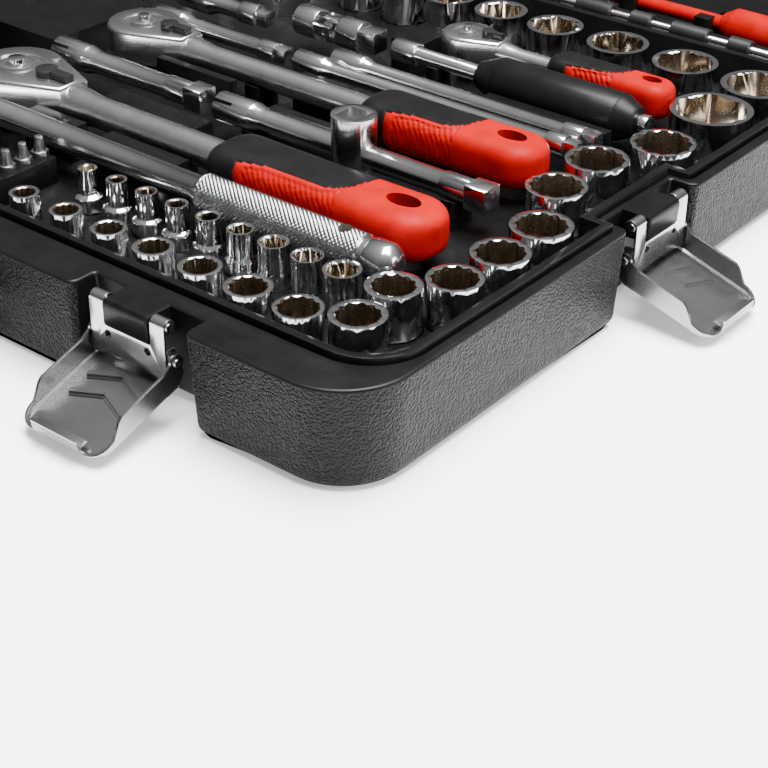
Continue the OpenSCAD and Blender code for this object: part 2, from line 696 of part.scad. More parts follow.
bit_rack();
bits();
wrenches();
screwdriver();
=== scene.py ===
"""Socket wrench set in an open case: materials, fine shapes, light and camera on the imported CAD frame."""

import math

import bmesh
import bpy
from mathutils import Matrix, Vector
from mathutils.geometry import tessellate_polygon


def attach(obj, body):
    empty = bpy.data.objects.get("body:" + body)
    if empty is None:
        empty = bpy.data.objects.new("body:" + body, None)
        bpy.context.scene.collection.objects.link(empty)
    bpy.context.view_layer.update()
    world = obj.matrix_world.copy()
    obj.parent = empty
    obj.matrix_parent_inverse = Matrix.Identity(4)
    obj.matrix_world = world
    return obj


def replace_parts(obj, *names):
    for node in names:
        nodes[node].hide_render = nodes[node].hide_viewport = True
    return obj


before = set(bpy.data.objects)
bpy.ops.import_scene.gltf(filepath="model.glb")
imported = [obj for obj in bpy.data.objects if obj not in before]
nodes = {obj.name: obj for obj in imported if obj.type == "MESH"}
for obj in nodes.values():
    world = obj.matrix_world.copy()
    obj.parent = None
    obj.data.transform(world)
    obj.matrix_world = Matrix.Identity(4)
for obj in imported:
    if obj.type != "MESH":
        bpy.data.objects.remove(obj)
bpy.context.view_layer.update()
MM = 0.001

# ---------- sizes shared with the CAD model, in millimetres ----------
CASE_W, CASE_D, HALF_H, CORNER_R = 480.0, 333.0, 40.0, 28.0
LATCH_X, LATCH_SIDE_Y = 141.0, 12.0
RECESS_W, SIDE_RECESS_W, RECESS_D = 52.0, 46.0, 11.0
RIM_X, RIM_Y0, RIM_Y1, RIM_R, RIM_JOG = 234.7, -147.0, 160.0, 22.0, 14.5
HINGE_Y, HINGE_Z = CASE_D / 2 + 3, HALF_H + 0.3
KNUCKLE_R = 4.1
TRAY_KNUCKLES = [132.5 + 51 * i for i in range(-7, 2)]
LID_KNUCKLES = [158 + 51 * i for i in range(-7, 2)]
PIN_Y, PIN_Z, SIDE_PIN_X = -CASE_D / 2 + 2.9, HALF_H - 2.5, CASE_W / 2 - 2.9
PIVOT_IN, PIVOT_DROP = 0.5, 13.0
LEVER_DROP, LEVER_LEN, LEVER_HALF = 17.0, 42.0, 19.8
HANDLE_X, HANDLE_PIN_Y, HANDLE_PIN_Z = 58.0, -CASE_D / 2 - 5.5, 22.0
TOOL_Z, BAR_Y = 42.0, -89.5

# Each latch's pin and its turn about Z in degrees
LATCHES = {"front_right": ((LATCH_X, PIN_Y), 0), "front_left": ((-LATCH_X, PIN_Y), 0),
           "right": ((SIDE_PIN_X, LATCH_SIDE_Y), 90), "left": ((-SIDE_PIN_X, LATCH_SIDE_Y), -90)}

# Turns the tray's shapes over the hinge line into the open lid's
TO_LID = Matrix.Translation((0, 2 * HINGE_Y, 0)) @ Matrix.Scale(-1, 4, (0, 1, 0))


# ---------- materials ----------
class Wire:
    """A node's output. Arithmetic on it adds Math nodes."""

    def __init__(self, look, socket):
        self.look, self.socket = look, socket

    def __add__(self, other):
        return self.look.math("ADD", self, other)

    __radd__ = __add__

    def __sub__(self, other):
        return self.look.math("SUBTRACT", self, other)

    def __rsub__(self, other):
        return self.look.math("SUBTRACT", other, self)

    def __mul__(self, other):
        return self.look.math("MULTIPLY", self, other)

    __rmul__ = __mul__


class Look:
    """A material with one Principled shader, built from procedural nodes."""

    def __init__(self, name, **constants):
        self.material = bpy.data.materials.new(name)
        self.material.use_nodes = True
        self.tree = self.material.node_tree
        self.shader = self.tree.nodes["Principled BSDF"]
        for key, value in constants.items():
            self.shader.inputs[key.replace("_", " ")].default_value = value

    def node(self, kind, settings=None, values=None, out=0):
        made = self.tree.nodes.new(kind)
        for key, value in (settings or {}).items():
            setattr(made, key, value)
        for key, value in (values or {}).items():
            if isinstance(value, Wire):
                self.tree.links.new(value.socket, made.inputs[key])
            else:
                made.inputs[key].default_value = value
        return Wire(self, made.outputs[out])

    def math(self, operation, a, b=0.0):
        return self.node("ShaderNodeMath", {"operation": operation}, {0: a, 1: b})

    def place(self):
        return self.node("ShaderNodeTexCoord", out="Object")

    def noise(self, size_mm, detail=2.0, rough=0.5, stretch=None):
        spot = self.place()
        if stretch:
            spot = self.node("ShaderNodeVectorMath", {"operation": "MULTIPLY"}, {0: spot, 1: stretch})
        return self.node("ShaderNodeTexNoise", None,
                         {"Vector": spot, "Scale": 1000 / size_mm, "Detail": detail, "Roughness": rough})

    def span(self, value, low, high, to_low=0.0, to_high=1.0):
        return self.node("ShaderNodeMapRange", None, {0: value, 1: low, 2: high, 3: to_low, 4: to_high})

    def blend(self, factor, a, b):
        return self.node("ShaderNodeMix", {"data_type": "RGBA"}, {0: factor, 6: (*a, 1), 7: (*b, 1)}, out=2)

    def bump(self, height, depth_mm):
        return self.node("ShaderNodeBump", None,
                         {"Strength": 1.0, "Distance": depth_mm * MM, "Height": height})

    def set(self, key, value):
        self.tree.links.new(value.socket, self.shader.inputs[key])


def pebbled(name):
    """Moulded black plastic with a leather-like pebble grain about 1 mm across; its colour is darker in the
    grain's hollows, painted shade.
    """
    look = Look(name, Specular_IOR_Level=0.13)
    cells = look.node("ShaderNodeTexVoronoi", {"feature": "SMOOTH_F1"},
                      {"Vector": look.place(), "Scale": 1000 / 1.05, "Smoothness": 0.25})
    height = look.span(cells, 0.1, 0.7, 1.0, 0.0) + look.noise(0.8, 2.0, 0.6) * 0.8
    look.set("Normal", look.bump(height, 0.7))
    # painted shade: the base colour is darker where the grain is low, in its hollows, and lighter on its tops
    look.set("Base Color", look.blend(look.span(height, 0.3, 1.4),
                                      (0.0012, 0.0012, 0.0013), (0.0045, 0.0045, 0.0047)))
    look.set("Roughness", look.span(look.noise(3.0), 0.3, 0.7, 0.36, 0.48))
    return look.material


def satin(name, colour, rough, grain_mm=0.5, depth=0.02, **more):
    """Smooth moulded plastic or rubber: a fine grain and faint cloudy handling marks."""
    look = Look(name, **more)
    lighter = tuple(min(1, c * 1.25 + 0.0004) for c in colour)
    look.set("Base Color", look.blend(look.span(look.noise(9.0, 3.0), 0.35, 0.65), colour, lighter))
    look.set("Roughness", look.span(look.noise(14.0, 4.0, 0.6), 0.3, 0.7, rough - 0.06, rough + 0.06))
    look.set("Normal", look.bump(look.noise(grain_mm, 2.0), depth))
    return look.material


def metal(name, colour, rough, stretch=(1, 1, 1), brush=0.012, spread=0.03, darker=0.85):
    """Plated or machined steel: streaks along the part and small differences in tone."""
    look = Look(name, Metallic=1.0)
    low = tuple(c * darker for c in colour)
    streaks = look.noise(0.9, 3.0, 0.6, stretch)
    look.set("Base Color", look.blend(look.span(look.noise(12.0, 2.0), 0.3, 0.7), low, colour))
    look.set("Roughness", look.span(streaks, 0.3, 0.7, rough - spread, rough + spread))
    if brush:
        look.set("Normal", look.bump(streaks, brush))
    return look.material


ALONG = (0.05, 1, 1)
SHELL = pebbled("case pebble grain with painted hollow shade")
LEDGE = satin("case ledge satin", (0.003, 0.003, 0.0031), 0.34, 0.35, 0.008, Specular_IOR_Level=0.08)
INSERT = satin("insert satin", (0.0025, 0.0025, 0.0026), 0.3, 0.5, 0.006, Specular_IOR_Level=0.1)
HANDLE = satin("handle satin", (0.006, 0.006, 0.0062), 0.4, Specular_IOR_Level=0.4)
CHROME = metal("socket chrome", (0.80, 0.80, 0.81), 0.08, brush=0.0, spread=0.02)
# painted shade: a darker, warm metal for the insides of bores and holes, standing in for the shade that falls
# inside them
BORE_SHADE = metal("socket bore painted shade", (0.28, 0.225, 0.165), 0.25, brush=0.0, darker=0.5)
TOOL = metal("tool satin chrome", (0.72, 0.72, 0.73), 0.17, ALONG, 0.001)
HEAD = metal("ratchet head", (0.62, 0.62, 0.63), 0.24, brush=0.0008)
KNURL = metal("knurled steel", (0.40, 0.40, 0.405), 0.24, brush=0.0)
PLATE = metal("latch plate nickel", (0.50, 0.50, 0.505), 0.22, brush=0.0, spread=0.012)
# painted shade: the pan is the same nickel as the plate, made darker to stand in for the shade on its floor
PAN_SHADE = metal("latch pan nickel painted darker for shade", (0.30, 0.30, 0.305), 0.24, brush=0.0, spread=0.012)
PIN = metal("bright pin", (0.72, 0.72, 0.72), 0.18, ALONG, 0.001)
GEAR = metal("machined steel", (0.36, 0.36, 0.37), 0.32)
BIT = metal("bit steel", (0.30, 0.30, 0.31), 0.30)
GRIP = satin("grip black", (0.0035, 0.0035, 0.0036), 0.36, 0.4, 0.008, Specular_IOR_Level=0.12)
RED = satin("grip red", (0.22, 0.0006, 0.0004), 0.48, 0.4, 0.01, Specular_IOR_Level=0.06)
BLACK = satin("lever black", (0.005, 0.005, 0.0052), 0.3)


# ---------- making pieces ----------
def mesh_object(name, bm, materials, mesh_name=None):
    """An object from bm, which is in millimetres and is used up."""
    bmesh.ops.recalc_face_normals(bm, faces=bm.faces)
    mesh = bpy.data.meshes.new(mesh_name or name)
    bm.to_mesh(mesh)
    bm.free()
    mesh.transform(Matrix.Scale(MM, 4))
    for material in materials:
        mesh.materials.append(material)
    one = bpy.data.objects.new(name, mesh)
    bpy.context.scene.collection.objects.link(one)
    return one


def made(name, bm, body, slot, materials, smooth=35.0):
    """The mesh bm, in millimetres, as a piece riding on body."""
    bmesh.ops.remove_doubles(bm, verts=bm.verts, dist=0.0005)
    piece = mesh_object(name, bm, materials)
    piece.data.shade_smooth()
    piece.data.set_sharp_from_angle(angle=math.radians(smooth))
    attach(piece, body)
    return piece


def join(bm, part, matrix=None):
    """Moves part by matrix and adds it to bm."""
    if matrix is not None:
        bmesh.ops.transform(part, matrix=matrix, verts=part.verts)
    mesh = bpy.data.meshes.new("part")
    part.to_mesh(mesh)
    bm.from_mesh(mesh)
    part.free()
    bpy.data.meshes.remove(mesh)


def bridge(bm, low, high, material=0):
    """Quads between two closed rings of vertices."""
    n = len(low)
    for i in range(n):
        quad = (low[i], low[(i + 1) % n], high[(i + 1) % n], high[i])
        if len(set(quad)) == 4:
            bm.faces.new(quad).material_index = material


def bridges(bm, rings, material=0):
    for low, high in zip(rings, rings[1:]):
        bridge(bm, low, high, material)


def ring(bm, points, z):
    return [bm.verts.new((*p[:2], z)) for p in points]


def cap(bm, loops, material=0):
    """Fills the area between an outer ring of vertices and the rings inside it."""
    flat = [[v.co.copy() for v in loop] for loop in loops]
    verts = [v for loop in loops for v in loop]
    for tri in tessellate_polygon(flat):
        corner = [verts[i] for i in tri]
        if len(set(corner)) == 3 and not bm.faces.get(corner):
            bm.faces.new(corner).material_index = material


def arc(cx, cy, r, a0, a1, steps=10):
    turns = [math.radians(a0 + (a1 - a0) * i / steps) for i in range(steps + 1)]
    return [(cx + r * math.cos(t), cy + r * math.sin(t)) for t in turns]


def oval(cx, cy, rx, ry, steps):
    turns = [2 * math.pi * i / steps for i in range(steps)]
    return [(cx + rx * math.cos(t), cy + ry * math.sin(t)) for t in turns]


def lathe(bm, profile, at=(0, 0, 0), along="X", steps=48, material=0, closed=True):
    """Turns (place, radius) pairs about an axis through at."""
    rings = []
    for place, radius in profile:
        points = []
        for u, v in oval(0, 0, radius, radius, steps):
            x, y, z = (place, u, v) if along == "X" else (u, v, place)
            points.append(bm.verts.new((x + at[0], y + at[1], z + at[2])))
        rings.append(points)
    bridges(bm, rings, material)
    if closed:
        for end in (rings[0], rings[-1]):
            bm.faces.new(end).material_index = material


def slab(bm, low, high, bevel):
    """A block between two corners, with its edges bevelled."""
    corners = bmesh.ops.create_cube(bm, size=1.0)["verts"]
    for v in corners:
        v.co = Vector([(low[i] + high[i]) / 2 + v.co[i] * (high[i] - low[i]) for i in range(3)])
    edges = list({e for v in corners for e in v.link_edges})
    bmesh.ops.bevel(bm, geom=edges, offset=bevel, segments=2, affect="EDGES", profile=0.7)


def moved_in(points, distance):
    """An outline moved in by distance along its own normals."""
    n, moved = len(points), []
    for i in range(n):
        a, b, c = Vector(points[i - 1]), Vector(points[i]), Vector(points[(i + 1) % n])
        n1, n2 = [Vector((-e.y, e.x)).normalized() if e.length else Vector((0, 0)) for e in (b - a, c - b)]
        middle = n1 + n2
        middle = middle / max(middle.dot(n1), 0.35) if middle.length > 1e-6 else n1
        moved.append(tuple(b + middle * distance))
    return moved


def extrude_plan(bm, plan, z0, z1, edge, holes=(), segments=3):
    """A plan outline extruded from z0 to z1, with its two rims rounded by edge and holes through it."""
    turns = [(k / segments) * math.pi / 2 for k in range(segments + 1)]
    steps = [(z0 + edge * (1 - math.sin(t)), edge * (1 - math.cos(t))) for t in reversed(turns)]
    steps += [(z1 - edge * (1 - math.sin(t)), edge * (1 - math.cos(t))) for t in turns]
    outer = [ring(bm, moved_in(plan, d), z) for z, d in steps]
    inner = [[ring(bm, hole, z) for z in (steps[0][0], steps[-1][0])] for hole in holes]
    for rings in (outer, *inner):
        bridges(bm, rings)
    for end in (0, -1):
        cap(bm, [outer[end]] + [rings[end] for rings in inner])


def keep(name, material, edge, others=()):
    """A CAD node stays, with its seams welded, its edges rounded by edge mm and its own materials."""
    node = nodes[name]
    node.data.materials.clear()
    for one in (material, *others):
        node.data.materials.append(one)
    for face in node.data.polygons:
        face.use_smooth = True
        face.material_index = 0
    weld = node.modifiers.new("weld", "WELD")
    weld.merge_threshold = 2e-6
    bevel = node.modifiers.new("edge", "BEVEL")
    bevel.width, bevel.segments, bevel.limit_method = edge * MM, 2, "ANGLE"
    bevel.angle_limit = math.radians(34)
    bevel.harden_normals = True
    bevel.miter_outer = "MITER_ARC"
    return node


# ---------- the case halves ----------
MOUTH_R, DEEP_R = 4.0, 1.5
FOOT_R, DRAFT = 5.0, 2.4
WALL_RINGS = 6


def recess(width, inset):
    """A latch recess: across the wall at 0, going along +u with the case at +v."""
    half, mouth, deep = width / 2 + inset, MOUTH_R - inset, DEEP_R + inset
    path = arc(-half - mouth, mouth, mouth, -90, 0, 5)
    path += arc(-half + deep, RECESS_D - DEEP_R, deep, 180, 90, 4)
    return path + [(-u, v) for u, v in reversed(path)]


def outline(inset):
    """The case's outline moved in, with its four latch recesses, counter-clockwise."""
    w, y0, y1, r = CASE_W / 2 - inset, -CASE_D / 2 + inset, CASE_D / 2 - inset, CORNER_R - inset
    side = recess(SIDE_RECESS_W, inset)
    points = [(x + u, y0 + v) for x in (-LATCH_X, LATCH_X) for u, v in recess(RECESS_W, inset)]
    points += arc(w - r, y0 + r, r, -90, 0, 14)
    points += [(w - v, LATCH_SIDE_Y + u) for u, v in side]
    points += arc(w - r, y1 - r, r, 0, 90, 14)
    points += arc(-w + r, y1 - r, r, 90, 180, 14)
    points += [(-w + v, LATCH_SIDE_Y - u) for u, v in side]
    points += arc(-w + r, y0 + r, r, 180, 270, 14)
    return points


def rim_outline(g):
    """The outline of the raised rim moved in by g, with its jogs behind the side latches."""
    w, y0, y1, r = RIM_X - g, RIM_Y0 + g, RIM_Y1 - g, RIM_R - g
    jog_x, half = CASE_W / 2 - RIM_JOG - g, SIDE_RECESS_W / 2 + 3.5 + g
    out, deep = max(3.0 - g, 0.4), 3.0 + g
    right = arc(w - out, LATCH_SIDE_Y - half - out, out, 0, 90, 4)
    right += arc(jog_x + deep, LATCH_SIDE_Y - half + deep, deep, 270, 180, 4)
    right += arc(jog_x + deep, LATCH_SIDE_Y + half - deep, deep, 180, 90, 4)
    right += arc(w - out, LATCH_SIDE_Y + half + out, out, -90, 0, 4)
    left = [(-x, 2 * LATCH_SIDE_Y - y) for x, y in right]
    points = arc(w - r, y0 + r, r, -90, 0, 12) + right + arc(w - r, y1 - r, r, 0, 90, 12)
    points += arc(-w + r, y1 - r, r, 90, 180, 12) + left + arc(-w + r, y0 + r, r, 180, 270, 12)
    return points


def on_recess_wall(c):
    """Whether c lies on a wall of a latch recess; those are smooth, without the pebble grain."""
    lip, reach = 3.2, RECESS_D + 8
    front = lip < c.y + CASE_D / 2 < reach and abs(abs(c.x) - LATCH_X) < RECESS_W / 2 + lip
    side = lip < CASE_W / 2 - abs(c.x) < reach and abs(c.y - LATCH_SIDE_Y) < SIDE_RECESS_W / 2 + lip
    return front or side


def half_case(name, body, lid=False):
    """One case half: pebbled walls with draft and a rounded foot, a smooth ledge, a groove for the rim."""
    bm = bmesh.new()
    foot = [math.radians(18 * k) for k in range(WALL_RINGS)]
    walls = [(FOOT_R * (1 - math.cos(t)), FOOT_R * (1 - math.sin(t))) for t in foot]
    walls = [(z, inset + DRAFT * (1 - z / HALF_H)) for z, inset in walls]
    edge = [(1.2, 0.07), (0.75, 0.12), (0.35, 0.35), (0.1, 0.75), (0.0, 1.25)]
    walls += [(HALF_H - down, inset) for down, inset in edge]
    rings = [ring(bm, outline(inset), z) for z, inset in walls]
    bridges(bm, rings[:WALL_RINGS + 1], 0)
    bridges(bm, rings[WALL_RINGS:], 1)
    cap(bm, [rings[0]], 0)
    groove, floor_z = HALF_H - (2.5 if lid else 1.8), 2.5
    inner = [(HALF_H, -1.3), (HALF_H - 0.25, -1.05), (groove, -1.0), (groove, 0.5), (floor_z, 0.5)]
    loops = [ring(bm, rim_outline(g), z) for z, g in inner]
    bridges(bm, loops, 1)
    cap(bm, [rings[-1], loops[0]], 1)
    cap(bm, [loops[-1]], 1)
    for f in bm.faces:
        c = f.calc_center_median()
        if on_recess_wall(c) and c.z > 0.2:
            f.material_index = 1
    if lid:
        bmesh.ops.transform(bm, matrix=TO_LID, verts=bm.verts)
    return made(name, bm, body, "case_shell", [SHELL, LEDGE], 28)


def barrel(bm, x, half_len, r, y, z):
    """A short round boss along X with chamfered ends."""
    chamfer = 0.5
    full = half_len - chamfer
    ends = [(x - half_len, r - chamfer), (x - full, r), (x + full, r), (x + half_len, r - chamfer)]
    lathe(bm, ends, (0, y, z), "X", 32)


def knuckles(name, places, half_len, body, side):
    """The hinge's knuckles, each with a foot on its case half, on the given side of the hinge."""
    bm = bmesh.new()
    for x in places:
        barrel(bm, x, half_len, KNUCKLE_R, HINGE_Y, HINGE_Z)
        for near, far, down, edge in ((3.0, 5.2, 9, 0.4), (0, 3.1, 3.9, 0.2)):
            y0, y1 = sorted((HINGE_Y + side * near, HINGE_Y + side * far))
            slab(bm, (x - half_len + 0.1, y0, HINGE_Z - down), (x + half_len - 0.1, y1, HINGE_Z - 0.3), edge)
    made(name, bm, body, "case_shell", [HANDLE])


def at_latch(name):
    (x, y), turn = LATCHES[name]
    return Matrix.Translation((x, y, PIN_Z)) @ Matrix.Rotation(math.radians(turn), 4, "Z")


def lug():
    """The rounded black block that a latch's pin runs through, about the pin."""
    part, r, top = bmesh.new(), 3.9, 2.5
    back = RECESS_D - 2.4
    section = [(back, top), (1.0, top)] + [(y, min(z, top)) for y, z in arc(0, 0, r, 75, 195, 10)]
    section += [(-3.4, -6.5), (-2.4, -8.6), (back, -8.9)]
    ends = [[part.verts.new((x, y * s + (1 - s) * 3, z * s - (1 - s) * 3)) for y, z in section]
            for x, s in ((-10.4, 0.93), (-9.9, 1.0), (9.9, 1.0), (10.4, 0.93))]
    bridges(part, ends)
    part.faces.new(ends[0])
    part.faces.new(ends[-1])
    return part


def lid_catch():
    """The block that a latch's lever hooks over."""
    part = bmesh.new()
    slab(part, (-10, -4.2, 15.7 - PIN_Z), (10, RECESS_D - 2.4, 20.1 - PIN_Z), 0.5)
    return part


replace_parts(half_case("tray_shell", "tray"), "case_base")
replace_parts(half_case("lid_shell_grained", "lid", lid=True), "lid_shell")
knuckles("tray_knuckles", TRAY_KNUCKLES, 5.5, "tray", -1)
knuckles("lid_knuckles", LID_KNUCKLES, 9.5, "lid", 1)

lugs, catches = bmesh.new(), bmesh.new()
for each in LATCHES:
    join(lugs, lug(), at_latch(each))
    join(catches, lid_catch(), TO_LID @ at_latch(each))
for x in (-HANDLE_X, HANDLE_X):
    barrel(lugs, x, 4, 5, HANDLE_PIN_Y, HANDLE_PIN_Z)
    slab(lugs, (x - 3.9, HANDLE_PIN_Y, HANDLE_PIN_Z - 5), (x + 3.9, -CASE_D / 2 + 2.5, HANDLE_PIN_Z + 5), 0.5)
made("latch_lugs", lugs, "tray", "case_shell", [LEDGE])
made("lid_catches", catches, "lid", "case_shell", [LEDGE])


# ---------- latches ----------
def plate_link(name):
    """A pressed plate with two arms, curled eyes, folded sides, two holes and an arched lower edge."""
    bm = bmesh.new()
    half, top, face, thick = 17.6, 0.6, -2.8, 1.2
    arch_r, arch_z, arch_half = 82.6, -101.2, 17.2
    across = [-arch_half + 2 * arch_half * i / 24 for i in range(25)]
    plan = [(x, arch_z + math.sqrt(arch_r ** 2 - x * x)) for x in across]
    right = [(half, -19.9), (half, top), (11.0, top), (11.0, -7.0)] + arc(10.2, -7.2, 0.8, 0, -90, 3)
    plan += right + [(-x, z) for x, z in reversed(right)]
    holes = [oval(sx * 9.4, -11, 1.5, 1.5, 20) for sx in (-1, 1)]
    extrude_plan(bm, plan, 0, thick, 0.22, holes, segments=2)
    # the plan's Y is the plate's Z, and its height runs inwards from the outer face
    upright = Matrix(((1, 0, 0, 0), (0, 0, 1, face), (0, 1, 0, 0), (0, 0, 0, 1)))
    bmesh.ops.transform(bm, matrix=upright, verts=bm.verts)
    outer = [(-y, z) for y, z in arc(0, 0, -face, 0, 285, 19)]
    bore = [(y * 1.72 / -face, z * 1.72 / -face) for y, z in reversed(outer)]
    n = len(outer)
    for sx in (-1, 1):
        curl = bmesh.new()
        x0, x1 = sx * 14.3 - 3.3, sx * 14.3 + 3.3
        bands = [[curl.verts.new((x, y * k, z * k)) for y, z in outer + bore]
                 for x, k in ((x0, 0.94), (x0 + 0.2, 1.0), (x1 - 0.2, 1.0), (x1, 0.94))]
        bridges(curl, bands)
        for band in (bands[0], bands[-1]):
            for i in range(n - 1):
                curl.faces.new((band[i], band[i + 1], band[2 * n - 2 - i], band[2 * n - 1 - i]))
        slab(curl, (sx * 17.0 - 0.6, -2.6, -18.6), (sx * 17.0 + 0.6, 2.2, -8.4), 0.3)
        join(bm, curl)
    bmesh.ops.transform(bm, matrix=at_latch(name), verts=bm.verts)
    piece = made(name + "_plate", bm, name + "_link", "latch_steel", [PLATE], 28)
    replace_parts(piece, name + "_link")


def pan_path(d):
    """(across, along) points round the pan, moved in by d, counted from the pivot's left end."""
    half, round_r = LEVER_HALF - d, 7
    points = [(-half, 2 + d)] + [(-half, y) for y in (6, 12, 20, 27, 29, 31.5, 33.5)]
    for t in [math.pi / 2 * i / 6 for i in range(7)]:
        points.append((-LEVER_HALF + round_r - (round_r - d) * math.cos(t),
                       LEVER_LEN - round_r + (round_r - d) * math.sin(t)))
    left = list(points)
    points += [(x, LEVER_LEN - d) for x in (-11.2, -11, -5, 0, 5, 11, 11.2)]
    return points + [(-x, y) for x, y in reversed(left)]


def pan_wall(x, y):
    """The height of the pan's wall above its outer face: high by the pivot, with a step down near the tip."""
    high, low, lip = 9.6, 3.6, 5.0
    if y < 2.5:
        return 1.3
    if y < 28:
        return high
    if y < 33:
        return high - (y - 28) / 5 * 5.6
    if abs(x) > 11.1:
        return low - 1.6 * min(1, max(0, (y - 34) / 7))
    return lip


def pan_ribs(bm, face):
    """Two V-shaped ribs pressed up from the pan's floor, face being its outer face."""
    for start in (8.5, 17.5):
        for sx in (-1, 1):
            a, b = Vector((0, start)), Vector((sx * 13.0, start + 5.0))
            side = Vector((-(b - a).y, (b - a).x)).normalized()
            for w, up in ((1.9, 1.7), (1.1, 2.5)):
                corners = [a + side * w, b + side * w, b - side * w, a - side * w]
                low, high = ([bm.verts.new((p.x, n, p.y)) for p in corners] for n in (face + 1.1, face + up))
                bridge(bm, low, high)
                bm.faces.new(high)


def pan_ears(bm, face):
    """The round ears inside the side walls, which the lever turns on."""
    lobe = arc(0, 0, 3.0, -150, 66, 18)
    lobe += [(-0.4, 8.0), (face + 0.7, 8.0), (face + 0.7, 3.0), (-6.0, -1.2)]
    for sx in (-1, 1):
        x0, x1 = sorted((sx * 18.7, sx * 19.7))
        low, high = ([bm.verts.new((x, n, y)) for n, y in lobe] for x in (x0, x1))
        bridge(bm, low, high)
        bm.faces.new(low)
        bm.faces.new(high)


def pan_lever(name):
    """The lever: a pressed pan with stepped side walls, round tip corners, a folded lip and two V ribs."""
    bm = bmesh.new()
    face = -9.7
    # from the outer face, over the wall's top and down to the pan's floor: (moved in, height of a wall h)
    levels = [(1.4, lambda h: 0.0), (0.45, lambda h: 0.35), (0.0, lambda h: min(1.2, h)),
              (0.0, lambda h: h - 0.2), (0.2, lambda h: h), (0.95, lambda h: h), (1.15, lambda h: h - 0.2),
              (1.2, lambda h: min(1.9, h)), (1.9, lambda h: min(1.2, h))]
    tops = [pan_wall(x, y) for x, y in pan_path(0)]
    rings = [[bm.verts.new((x, face + height(h), y)) for (x, y), h in zip(pan_path(d), tops)]
             for d, height in levels]
    bridges(bm, rings)
    for loop in (rings[0], rings[-1]):
        bm.faces.new(loop)
    pan_ears(bm, face)
    slab(bm, (-11, -6.6, LEVER_LEN - 4.2), (11, -5.6, LEVER_LEN - 0.9), 0.3)
    slab(bm, (-11, -6.0, LEVER_LEN - 1.3), (11, -3.2, LEVER_LEN - 0.1), 0.4)
    pan_ribs(bm, face)
    swing = Matrix.Rotation(math.radians(90 + LEVER_DROP), 4, "X")
    m = at_latch(name) @ Matrix.Translation((0, PIVOT_IN, -PIVOT_DROP)) @ swing
    bmesh.ops.transform(bm, matrix=m, verts=bm.verts)
    # the pan takes the darker nickel, painted shade
    piece = made(name + "_pan", bm, name + "_lever", "latch_steel", [PAN_SHADE], 22)
    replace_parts(piece, name + "_lever")


for each in LATCHES:
    plate_link(each)
    pan_lever(each)


# ---------- the knurled bar ----------
KNURL_X0, KNURL_LEN, KNURL_R, KNURL_DEEP = 105.2, 75.6, 6.95, 0.5


def knurl(bm):
    """The diamond knurl: crossed grooves, 24 round the bar and 2 mm apart along it."""
    around, pitch, steps = 24, 2.0, 6
    n_a, n_x = around * steps, int(KNURL_LEN / pitch * steps)

    def wave(t):
        return abs(2 * (t - math.floor(t)) - 1)

    rows = []
    for j in range(n_x + 1):
        row = []
        fade = 0.2 if j in (0, n_x) else 1
        for i in range(n_a):
            u, v = i / steps, j / steps
            height = min(0.75 * min(wave(u + v), wave(u - v)), 0.5)
            a = 2 * math.pi * i / n_a
            r = KNURL_R + KNURL_DEEP * height * 2 * fade
            row.append(bm.verts.new((KNURL_X0 + KNURL_LEN * j / n_x,
                                     BAR_Y + r * math.cos(a), TOOL_Z + r * math.sin(a))))
        rows.append(row)
    bridges(bm, rows, 1)


def knurled_bar():
    """The long bar: a fork for the tilting head, a plain shaft, the knurled grip and a turned end."""
    bm = bmesh.new()
    at = (0, BAR_Y, TOOL_Z)
    lathe(bm, [(-74, 7.4), (-73.4, 8), (-66.5, 8), (-66, 7.6), (-64, 5.5), (101.9, 5.5), (104.6, 7.3),
               (KNURL_X0, 7.45)], at)
    lathe(bm, [(180.8, 7.45), (181.3, 6.9), (181.5, 6.6), (183.6, 6.6), (184, 7.1), (184.5, 7.5),
               (191.4, 7.5), (192.6, 7.2), (195.6, 4.6), (196, 4)], at)
    for y0, y1 in ((-8, -4.1), (4.1, 8)):
        slab(bm, (-92, BAR_Y + y0, TOOL_Z - 6.5), (-70, BAR_Y + y1, TOOL_Z + 6.5), 0.8)
    knurl(bm)
    bar = made("knurled_bar", bm, "breaker_bar", "tool_chrome", [TOOL, KNURL, BORE_SHADE], 50)
    bm = bmesh.new()
    top = TOOL_Z + 7.62
    # painted shade: a shallow dimple in the dark bore metal stands for the cross hole, whose depth would show
    # as shade
    lathe(bm, [(TOOL_Z + 7.2, 2.3), (top, 2.6), (top, 0.01)], (172, BAR_Y, 0), "Z", 24, closed=False)
    made("bar_cross_hole_painted_shade", bm, "breaker_bar", "tool_chrome", [BORE_SHADE])
    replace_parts(bar, "breaker_bar")


knurled_bar()


# ---------- ratchets ----------
def rise(distance, length, power):
    """0 to 1 along a round shoulder of the given length."""
    return math.sqrt(max(0.0, 1 - (1 - min(1, distance / length)) ** power))


